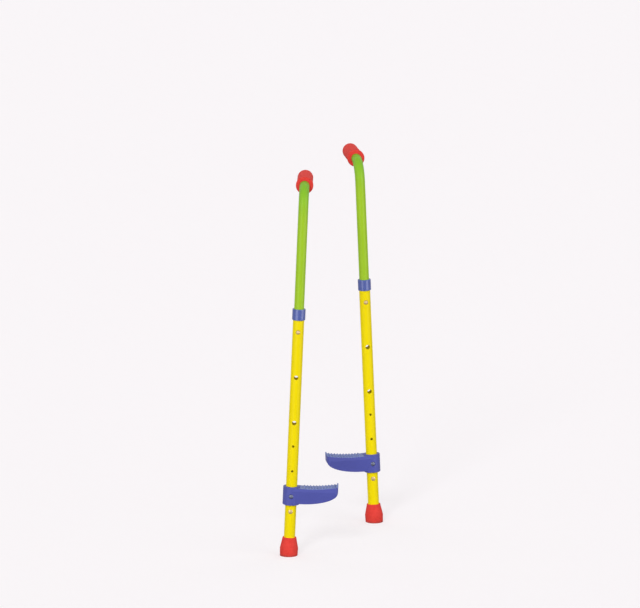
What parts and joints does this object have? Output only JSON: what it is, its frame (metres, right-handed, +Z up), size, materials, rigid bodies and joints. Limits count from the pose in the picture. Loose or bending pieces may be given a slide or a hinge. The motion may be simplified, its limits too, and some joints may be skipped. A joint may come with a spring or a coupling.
{
  "type": "pair of stilts",
  "caption": "Telescoping stilts for a child, with bent handles, rubber grips and feet, snap-button height latches and bolted toothed footrests.",
  "frame": {"origin": "on the ground, in the middle of the pair's bounding box", "axes": "+Z up; +X from the left stilt to the right one as the picture shows them; +Y away from the viewer, the way both handles point"},
  "size_m": [0.2324, 0.4941, 0.8491],
  "materials": {
    "yellow_coat": "smooth powder coat, half gloss",
    "green_coat": "smooth powder coat, half gloss",
    "red_rubber": "moulded, matt",
    "blue_plastic": "moulded, fine texture",
    "blue_collar": "moulded, glossy",
    "steel": "bright plated",
    "grey_steel": "zinc plated, dull",
    "black_plastic": "moulded, matt"
  },
  "bodies": {
    "lower_halves": {"left_lower_tube": "yellow_coat", "left_foot": "red_rubber", "left_foot_washer": "steel", "left_footrest": "blue_plastic", "left_footrest_bolt": "grey_steel", "left_footrest_nut": "grey_steel", "left_stop_rivet": "steel", "left_collar": "blue_collar", "right_lower_tube": "yellow_coat", "right_foot": "red_rubber", "right_foot_washer": "steel", "right_footrest": "blue_plastic", "right_footrest_bolt": "grey_steel", "right_footrest_nut": "grey_steel", "right_stop_rivet": "steel", "right_collar": "blue_collar"},
    "left_upper": {"left_upper_tube": "green_coat", "left_grip": "red_rubber", "left_glide_plug": "black_plastic", "left_snap_spring": "steel"},
    "left_button": {"left_snap_button": "steel"},
    "right_upper": {"right_upper_tube": "green_coat", "right_grip": "red_rubber", "right_glide_plug": "black_plastic", "right_snap_spring": "steel"},
    "right_button": {"right_snap_button": "steel"}
  },
  "joints": [
    {"name": "left_height_slide", "type": "slide", "parent": "lower_halves", "child": "left_upper", "axis": [0.0419, 0, 0.9991], "range_m": [-0.206, 0], "deforming": ["left_snap_button", "left_snap_spring"]},
    {"name": "left_button_press", "type": "slide", "parent": "left_upper", "child": "left_button", "axis": [0.0174, 0.9998, -0.0007], "range_m": [0, 0.004], "stiffness_N_per_m": 600, "deforming": ["left_snap_spring"]},
    {"name": "right_height_slide", "type": "slide", "parent": "lower_halves", "child": "right_upper", "axis": [-0.0419, 0, 0.9991], "range_m": [-0.206, 0], "deforming": ["right_snap_button", "right_snap_spring"]},
    {"name": "right_button_press", "type": "slide", "parent": "right_upper", "child": "right_button", "axis": [-0.1391, 0.9903, -0.0058], "range_m": [0, 0.004], "stiffness_N_per_m": 600, "deforming": ["right_snap_spring"]}
  ]
}
